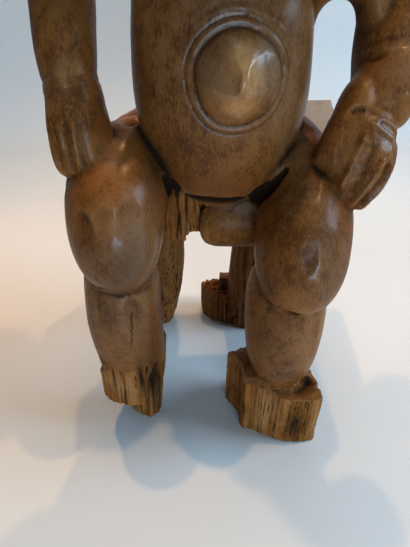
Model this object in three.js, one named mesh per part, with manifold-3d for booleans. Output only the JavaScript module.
// A seated mother with a child in the crook of her left arm, on a stool, all carved from one log.
// Millimetres, +Z up. She faces -Y, and +X is on her left. The origin is under the middle of the figure.
import * as THREE from 'three';
import { mergeVertices } from 'three/addons/utils/BufferGeometryUtils.js';
import Module from 'manifold-3d';

const wasm = await Module();
wasm.setup();

// Driving dimensions. Places are measured from the floor under the mother's waist.
const SEAT_FRONT = -25;
const SEAT_BACK = 153;
const SEAT_LEFT = 152;
const SEAT_RIGHT = -128;
const SEAT_TOP = 260;
const SEAT_THICK = 34;
const SEAT_SLOPE = 0.297;
const NAVEL = { x: 11.5, z: 373.5, height: 25, radius: 30 };
const RING_RADII = [33.5, 39];
const RING_CUT = 1.9;
const FINGERS = 4;
const FOOT_HEIGHT = 72;
const FOOT_STEP = 16;
const BASE_HEIGHT = 47;
const POST_HEIGHT = 66;
const CROWN = 800;
const TORSO_BLUNT = 3.3;
const ORIGIN = { x: 13.1, y: 21.7 };

// A row of stations is [x, y, z, half width, half depth], and it is read as a smooth curve.
const TORSO = [
  [7, -12, 257, 72, 50],
  [5.5, -12, 302, 72, 53],
  [4.5, -10, 347, 72.5, 55],
  [4.5, -6, 392, 70, 53],
  [4.5, 1, 437, 66, 46],
  [5, 5, 482, 66, 41],
  [4, 6, 527, 76, 40],
  [3, 6, 572, 84, 36],
];
const CHEST = [
  [6, 2, 430, 58, 40],
  [5, 4, 472, 66, 44],
  [4, 6, 516, 84, 45],
  [3, 6, 566, 92, 38],
];
const SHOULDERS = [
  [-112, 6, 540, 27, 27],
  [-62, 5, 552, 32, 34],
  [3, 4, 560, 38, 36],
  [68, 5, 552, 32, 34],
  [118, 6, 540, 27, 27],
];
const THIGH_RIGHT = [
  [-56, 62, 292, 44, 38],
  [-70, 20, 288, 45, 42],
  [-83, -22, 282, 45, 46],
  [-87, -52, 254, 41.5, 47],
  [-87, -62, 198, 38, 40],
];
const THIGH_LEFT = [
  [60, 62, 284, 46, 34],
  [58, 18, 291, 47, 46],
  [78, -26, 265, 42, 48],
  [72, -66, 234, 41, 50],
  [69, -79, 178, 38, 42],
];
const SHIN_RIGHT = [
  [-89, -42, 236, 33, 30],
  [-90, -46, 190, 36, 34],
  [-91, -46, 148, 37.5, 36],
  [-90, -46, 106, 35, 33],
  [-89, -46, 62, 30, 27],
];
const SHIN_LEFT = [
  [66, -56, 226, 34, 30],
  [66, -60, 190, 38, 34],
  [67, -62, 150, 39, 36],
  [69, -62, 106, 35, 32],
  [75, -60, 56, 21, 22],
];
const ARM_RIGHT = [
  [-94, 4, 562, 30, 28],
  [-116, 8, 524, 30, 29],
  [-121, 14, 470, 27, 27],
  [-116, 12, 425, 25, 27],
  [-115, -8, 388, 23.5, 24],
  [-113, -26, 350, 23, 18],
];
const ARM_LEFT = [
  [98, 4, 562, 30, 28],
  [125, 8, 524, 31, 29],
  [141, 17, 468, 29, 27],
  [147, 20, 420, 29, 29],
  [143, 6, 384, 29, 29],
  [137, -16, 356, 28, 25],
  [123, -34, 334, 25, 21],
];
const FOREARM_LEFT = [
  [145, -8, 387, 21, 21],
  [143, -14, 371, 25, 22],
  [131, -25, 351, 28, 20],
  [121, -34, 334, 27, 17],
];
const HAND_RIGHT = [
  [-114, -20, 384, 18, 13],
  [-112, -31, 352, 21, 17],
  [-110.5, -38, 326, 22, 18],
  [-110, -44, 294, 22, 15],
];
const HAND_LEFT = [
  [115, -36, 347, 19, 17],
  [118, -47, 324, 26, 19],
  [110, -58, 299, 25, 19],
  [103, -64, 275, 19, 14],
];
// Uncut wood joins the inner side of each hand to the thigh, and an arch joins her left arm to the waist.
const WEB_RIGHT = [
  [-105, -14, 384, 12, 12],
  [-104, -21, 356, 15, 17],
  [-101, -27, 322, 18, 22],
  [-93, -32, 296, 19, 22],
];
const WEB_LEFT = [
  [119, -20, 368, 14, 15],
  [108, -34, 342, 16, 18],
  [98, -46, 314, 19, 20],
  [88, -56, 288, 18, 18],
];
const ARCH = { x: 96, y: 8, z: 401, radius: 30, deep: 18, thick: 13 };
const NECK = [
  [3, 8, 560, 34, 32],
  [3, 4, 592, 29, 28],
  [3, -4, 630, 30, 30],
];
const HEAD = [
  [3, -30, 604, 22, 22],
  [3, -24, 632, 40, 42],
  [3, -14, 664, 51, 54],
  [3, -8, 700, 55, 60],
  [3, -2, 740, 52, 58],
  [3, 4, 776, 40, 44],
];
const CAP = [
  [3, 12, 680, 48, 50],
  [3, 4, 716, 60, 67],
  [3, 3, 752, 57, 63],
  [3, 6, 788, 34, 40],
];
const CREST = [
  [3, -56, 728, 7, 10],
  [3, -38, 772, 8, 14],
  [3, 6, CROWN - 14, 9, 14],
  [3, 48, 772, 8, 14],
  [3, 68, 724, 7, 10],
];
const CHILD_BODY = [
  [93, -2, 430, 27, 24],
  [87, -10, 452, 28, 26],
  [79, -24, 484, 24, 21],
  [70, -36, 520, 30, 20],
];
const CHILD_NECK = [
  [70, -34, 502, 14, 14],
  [66, -42, 520, 13, 13],
  [64, -48, 540, 13, 13],
];
const CHILD_HEAD = [
  [63, -52, 514, 17, 18],
  [62, -50, 536, 28, 29],
  [61, -46, 561, 29, 32],
  [61, -43, 585, 20, 21],
];

// A smooth curve through the stations' places, and one through their half sizes.
function curves(stations) {
  const place = stations.map(([x, y, z]) => new THREE.Vector3(x, y, z));
  const half = stations.map(([, , , w, d]) => new THREE.Vector3(w, d, 0));
  return {
    place: new THREE.CatmullRomCurve3(place, false, 'catmullrom'),
    half: new THREE.CatmullRomCurve3(half, false, 'catmullrom'),
  };
}

function solidOf(geometry) {
  geometry.deleteAttribute('normal');
  geometry.deleteAttribute('uv');
  const merged = mergeVertices(geometry, 1e-3);
  return new wasm.Manifold(new wasm.Mesh({
    numProp: 3,
    vertProperties: new Float32Array(merged.attributes.position.array),
    triVerts: new Uint32Array(merged.index.array),
  }));
}

// Moves every vertex of a geometry with a function of its place.
function moveVertices(geometry, move) {
  const position = geometry.attributes.position;
  const point = new THREE.Vector3();
  for (let i = 0; i < position.count; i += 1) {
    point.fromBufferAttribute(position, i);
    move(point);
    position.setXYZ(i, point.x, point.y, point.z);
  }
  return geometry;
}

// A limb: a sphere drawn out along the stations. Its section is an ellipse across the path, shrunk towards
// both ends by sqrt(1 - |cos|^blunt), so blunt 2 is an egg and a large blunt is a drum with round ends.
function limb(stations, { blunt = 6, sides = 20, rings = 14, across = new THREE.Vector3(1, 0, 0) } = {}) {
  const { place, half } = curves(stations);
  const geometry = new THREE.SphereGeometry(1, sides, rings);
  moveVertices(geometry, (p) => {
    const along = Math.min(1, Math.max(-1, p.y));
    const t = (1 + along) / 2;
    const shrink = Math.sqrt(Math.max(0, 1 - Math.abs(along) ** blunt));
    const radius = Math.hypot(p.x, p.z);
    const [cos, sin] = radius > 1e-6 ? [p.x / radius, p.z / radius] : [0, 0];
    const tangent = place.getTangent(t);
    const side = across.clone().addScaledVector(tangent, -across.dot(tangent)).normalize();
    const front = new THREE.Vector3().crossVectors(side, tangent);
    const size = half.getPoint(t);
    p.copy(place.getPoint(t));
    p.addScaledVector(side, cos * size.x * shrink);
    p.addScaledVector(front, sin * size.y * shrink);
  });
  return solidOf(geometry);
}

// An egg with its half sizes, turned about X by tilt.
function egg(x, y, z, a, b, c, tilt = 0, sides = 16, rings = 10) {
  const geometry = new THREE.SphereGeometry(1, sides, rings);
  geometry.rotateX(Math.PI / 2);
  geometry.scale(a, b, c);
  geometry.rotateX(tilt);
  geometry.translate(x, y, z);
  return solidOf(geometry);
}

// A plan outline raised from z = low to z = high.
function block(outline, low, high) {
  const shape = new THREE.Shape(outline.map(([x, y]) => new THREE.Vector2(x, y)));
  const geometry = new THREE.ExtrudeGeometry(shape, { depth: high - low, bevelEnabled: false });
  geometry.translate(0, 0, low);
  return geometry;
}

// How far forward the belly reaches at a place on its front, from the torso's own stations.
function bellyFront(x, z) {
  const { place, half } = curves(TORSO);
  const low = TORSO[0][2];
  const high = TORSO[TORSO.length - 1][2];
  const t = (z - low) / (high - low);
  const shrink = Math.sqrt(1 - Math.abs(2 * t - 1) ** TORSO_BLUNT);
  const centre = place.getPoint(t);
  const size = half.getPoint(t).multiplyScalar(shrink);
  const across = (x - centre.x) / size.x;
  return centre.y - size.y * Math.sqrt(Math.max(0, 1 - across * across));
}

// The navel is a blunt cone with a round tip, and its two rings are V grooves that lie on the belly.
function navel() {
  const { x, z, height, radius } = NAVEL;
  const steps = 6;
  const root = bellyFront(x, z) + 8;
  const profile = [new THREE.Vector2(0, 0)];
  for (let i = 0; i <= steps; i += 1) {
    const r = radius * (1 - i / steps);
    profile.push(new THREE.Vector2(r, 8 + height * (1 - (r / radius) ** 1.6)));
  }
  const geometry = new THREE.LatheGeometry(profile, 20);
  geometry.rotateX(Math.PI);
  geometry.translate(x, root, z);
  return solidOf(geometry);
}

function navelRing(radius) {
  const points = [];
  const count = 26;
  for (let i = 0; i < count; i += 1) {
    const a = (2 * Math.PI * i) / count;
    const x = NAVEL.x + radius * Math.cos(a);
    const z = NAVEL.z + radius * Math.sin(a);
    points.push(new THREE.Vector3(x, bellyFront(x, z), z));
  }
  const path = new THREE.CatmullRomCurve3(points, true);
  const section = new THREE.Shape([
    new THREE.Vector2(-RING_CUT, RING_CUT),
    new THREE.Vector2(-RING_CUT, -RING_CUT),
    new THREE.Vector2(RING_CUT, 0),
  ]);
  return solidOf(new THREE.ExtrudeGeometry(section, { steps: count, extrudePath: path }));
}

// Fingers lie side by side as slim limbs from the knuckles to the tips.
function fingers(knuckle, tip, spread, size) {
  const parts = [];
  for (let i = 0; i < FINGERS; i += 1) {
    const k = i - (FINGERS - 1) / 2;
    const row = [knuckle, tip].map((end, n) => [
      end[0] + spread[0] * k * (n ? 0.86 : 1),
      end[1] + spread[1] * k + 2 * Math.abs(k),
      end[2] + spread[2] * k,
      size,
      size * 1.1,
    ]);
    const middle = row[0].map((v, j) => (v + row[1][j]) / 2);
    middle[1] -= 1.5;
    parts.push(limb([row[0], middle, row[1]], { blunt: 5, sides: 5, rings: 4 }));
  }
  return parts;
}

// The arch between the waist and her left arm: a limb along a circle, from below one end to below the other.
function arch() {
  const { x, y, z, radius, deep, thick } = ARCH;
  const stations = [200, 160, 125, 90, 55, 20, -20].map((degrees) => {
    const a = THREE.MathUtils.degToRad(degrees);
    return [x + radius * Math.cos(a), y, z + radius * Math.sin(a), deep, thick];
  });
  return limb(stations, { blunt: 9, sides: 9, rings: 8, across: new THREE.Vector3(0, 1, 0) });
}

function seat() {
  const outline = [
    [-108, SEAT_FRONT + 30],
    [-47, SEAT_FRONT + 26],
    [-27, SEAT_FRONT + 24],
    [-16, SEAT_FRONT + 14],
    [SEAT_LEFT - 40, SEAT_FRONT + 8],
    [SEAT_LEFT - 8, SEAT_FRONT + 40],
    [SEAT_LEFT, SEAT_BACK],
    [-70, SEAT_BACK],
    [SEAT_RIGHT, SEAT_BACK - 62],
    [SEAT_RIGHT + 6, SEAT_FRONT + 50],
  ];
  const geometry = block(outline, SEAT_TOP - SEAT_THICK, SEAT_TOP);
  moveVertices(geometry, (p) => {
    p.z += SEAT_SLOPE * (p.y - SEAT_FRONT);
  });
  return solidOf(geometry);
}

// The seat's front rim: a thick round bar with a broken right end, and a rough stub beyond a notch.
function rim() {
  const bar = new THREE.CylinderGeometry(24, 23, 84, 18, 1);
  bar.rotateZ(Math.PI / 2);
  bar.translate(28, -8, 236);
  const notch = block([[-47, -8], [-28, -10], [-27, 20], [-47, 22]], 216, 268);
  const bridge = block([[-50, 2], [-8, 0], [-8, 30], [-50, 30]], 219, 268);
  return [solidOf(bar), solidOf(notch), solidOf(bridge)];
}

function backLegs() {
  const right = [
    [-62, 96, 286, 30, 26],
    [-58, 104, 220, 27, 24],
    [-57, 110, 150, 27, 24],
    [-59, 117, 84, 25, 23],
    [-64, 122, 40, 22, 20],
    [-76, 128, -22, 20, 18],
  ];
  const left = [
    [64, 96, 286, 30, 26],
    [62, 102, 220, 28, 24],
    [60, 106, 150, 25, 23],
    [58, 108, 90, 27, 24],
    [62, 112, 40, 30, 24],
    [68, 114, -22, 30, 24],
  ];
  return [right, left].map((stations) => limb(stations, { blunt: 12, sides: 10, rings: 8 }));
}

// What is left of the ring that once joined the stool's feet: a curved stump with a ragged top and a post.
function baseStump() {
  const outline = [[66, 98], [36, 103], [10, 113], [-5, 130], [-6, 152], [14, 158], [44, 150], [66, 134]];
  const geometry = block(outline, -8, BASE_HEIGHT);
  moveVertices(geometry, (p) => {
    if (p.z > 0) p.z += 5 * Math.sin(p.x * 0.9 + p.y * 0.4) - 0.04 * (p.x - 30);
  });
  return [solidOf(geometry), solidOf(block([[20, 132], [40, 130], [41, 149], [21, 150]], -8, POST_HEIGHT))];
}

// The feet are broken off. Her left one is a block with an upright split face, and its inner part is higher
// in front and falls off backwards. Her right one hangs above the floor and stands on a leaning splinter.
function feet() {
  const leftFoot = block([
    [29, -77], [42, -80], [50, -86], [61, -91], [77, -98], [96, -100], [111, -96], [107, -64],
    [98, -38], [62, -18], [41, -10], [21, -20], [16, -34], [29, -56],
  ], -8, FOOT_HEIGHT);
  moveVertices(leftFoot, (p) => {
    if (p.z > 0) p.z += p.x < 56 ? THREE.MathUtils.clamp(-24 - p.y, -4, FOOT_STEP) : 0.1 * (p.y + 98);
  });
  const rightFoot = block([
    [-122, -66], [-114, -74], [-96, -78], [-78, -75], [-74, -60], [-74, -24], [-84, -16], [-114, -24],
  ], 52, 112);
  moveVertices(rightFoot, (p) => {
    if (p.z < 60) p.z -= 0.14 * (p.x + 110);
    else p.set(-89 + 0.9 * (p.x + 89), -46 + 0.86 * (p.y + 46), p.z);
  });
  const splinter = block([
    [-103, -38], [-95, -47], [-77, -58], [-66, -50], [-63, -34], [-67, -24], [-94, -22],
  ], -8, 105);
  moveVertices(splinter, (p) => {
    if (p.z > 0) p.set(p.x + 10, p.y + 10, p.z);
  });
  return [leftFoot, rightFoot, splinter].map(solidOf);
}

function mother() {
  const upright = new THREE.Vector3(0, 0, 1);
  return [
    limb(TORSO, { blunt: TORSO_BLUNT, sides: 24, rings: 14 }),
    limb(CHEST, { blunt: 7, sides: 15, rings: 7 }),
    limb(SHOULDERS, { blunt: 5, sides: 12, rings: 9, across: upright }),
    limb(THIGH_RIGHT, { blunt: 5, sides: 16, rings: 10 }),
    limb(THIGH_LEFT, { blunt: 5, sides: 16, rings: 10 }),
    limb(SHIN_RIGHT, { blunt: 7, sides: 13, rings: 8 }),
    limb(SHIN_LEFT, { blunt: 7, sides: 13, rings: 8 }),
    limb(ARM_RIGHT, { blunt: 8, sides: 11, rings: 10 }),
    limb(ARM_LEFT, { blunt: 8, sides: 11, rings: 10 }),
    limb(HAND_RIGHT, { blunt: 6, sides: 9, rings: 5 }),
    limb(HAND_LEFT, { blunt: 4, sides: 9, rings: 5 }),
    limb(NECK, { blunt: 12, sides: 12, rings: 6 }),
    egg(-48, 48, 294, 46, 42, 40, 0, 12, 7),
    egg(52, 48, 288, 48, 42, 38, 0, 12, 7),
    egg(-27, -32, 484, 26, 30, 28, 0.5, 12, 7),
    egg(37, -32, 484, 26, 30, 28, 0.5, 12, 7),
    egg(80, 0, 442, 18, 18, 26, 0, 8, 6),
    egg(116, 4, 444, 22, 20, 28, 0, 8, 6),
    limb(FOREARM_LEFT, { blunt: 5, sides: 11, rings: 6 }),
    limb(WEB_RIGHT, { blunt: 5, sides: 9, rings: 5 }),
    limb(WEB_LEFT, { blunt: 5, sides: 9, rings: 5 }),
    arch(),
    ...fingers([-114, -48, 350], [-110, -56, 302], [8.6, 0, 0], 5.6),
    ...fingers([118, -60, 322], [99, -73, 281], [9.5, -1.5, -3], 6.4),
  ];
}

// The mother's head: an egg with brow, nose, lips, closed lids, ears and a ridged cap of hair.
function head() {
  const upright = new THREE.Vector3(0, 0, 1);
  const parts = [
    limb(HEAD, { blunt: 2.6, sides: 16, rings: 12 }),
    limb(CAP, { blunt: 3, sides: 16, rings: 7 }),
    limb(CREST, { blunt: 6, sides: 7, rings: 10 }),
    egg(3, -66, 666, 6.5, 9, 20, -0.2, 8, 7),
    egg(3, -69, 653, 11, 7, 5.5, 0, 8, 6),
    egg(3, -61, 637, 14, 7, 4, 0, 8, 5),
    egg(3, -58.5, 629.5, 12, 7, 4, 0, 8, 5),
  ];
  for (const side of [-1, 1]) {
    parts.push(egg(3 + side * 21, -58, 682, 13, 9, 6, 0, 10, 5));
    parts.push(egg(3 + side * 54, 2, 672, 6, 12, 19, 0, 8, 6));
    parts.push(limb([
      [3 + side * 40, -42, 692, 4, 5],
      [3 + side * 22, -60, 702, 5, 6],
      [3 + side * 4, -66, 694, 5, 5],
    ], { blunt: 4, sides: 5, rings: 5, across: upright }));
  }
  return parts;
}

// The child sits in the crook of the mother's left arm, one hand on her breast.
function child() {
  const limbs = [
    [[80, -20, 446, 15, 15], [68, -54, 458, 15, 15], [56, -74, 458, 13, 13]],
    [[58, -70, 460, 13, 12], [44, -76, 450, 11, 11], [28, -70, 444, 9, 9]],
    [[98, -12, 446, 15, 15], [108, -42, 456, 14, 14], [110, -64, 456, 12, 12]],
    [[111, -58, 460, 12, 12], [106, -72, 450, 11, 11], [96, -80, 442, 9, 8]],
    [[58, -36, 512, 10, 10], [48, -56, 502, 9, 9], [36, -64, 498, 8, 8]],
    [[90, -32, 512, 10, 10], [102, -46, 492, 9, 9], [102, -58, 466, 8, 8]],
  ];
  const parts = [
    limb(CHILD_BODY, { blunt: 4, sides: 12, rings: 8 }),
    limb(CHILD_NECK, { blunt: 8, sides: 8, rings: 5 }),
    limb(CHILD_HEAD, { blunt: 2.6, sides: 12, rings: 8 }),
    egg(61, -79, 544, 4.5, 6, 8.5, -0.2, 5, 4),
    egg(62, -74, 529, 8, 6, 4, 0, 6, 4),
    egg(50, -74, 553, 8, 6, 4.4, 0, 6, 4),
    egg(72, -74, 553, 8, 6, 4.4, 0, 6, 4),
    egg(33, -44, 548, 4, 6, 9, 0, 5, 4),
    egg(89, -43, 548, 4, 6, 9, 0, 5, 4),
  ];
  return parts.concat(limbs.map((stations) => limb(stations, { blunt: 4, sides: 7, rings: 5 })));
}

function figureSolid() {
  const body = [...mother(), ...head(), ...child(), navel()];
  const stool = [seat(), ...rim(), ...backLegs(), ...baseStump(), ...feet()];
  const raised = [...body, ...stool];
  let solid = raised.reduce((sum, part) => sum.add(part));
  for (const radius of RING_RADII) solid = solid.subtract(navelRing(radius));
  const floor = new THREE.BoxGeometry(900, 900, 100);
  floor.translate(0, 0, -50);
  return solid.subtract(solidOf(floor));
}

function geometryOf(solid) {
  const mesh = solid.getMesh();
  const geometry = new THREE.BufferGeometry();
  geometry.setAttribute('position', new THREE.BufferAttribute(mesh.vertProperties, 3));
  geometry.setIndex(new THREE.BufferAttribute(mesh.triVerts, 1));
  geometry.translate(-ORIGIN.x, -ORIGIN.y, 0);
  geometry.computeVertexNormals();
  return geometry;
}

const wood = new THREE.MeshStandardMaterial({ color: 0x6b4a2a, roughness: 0.48, metalness: 0 });
const figure = new THREE.Mesh(geometryOf(figureSolid()), wood);
figure.name = 'mother_and_child';

const model = new THREE.Group();
model.add(figure);
export default model;
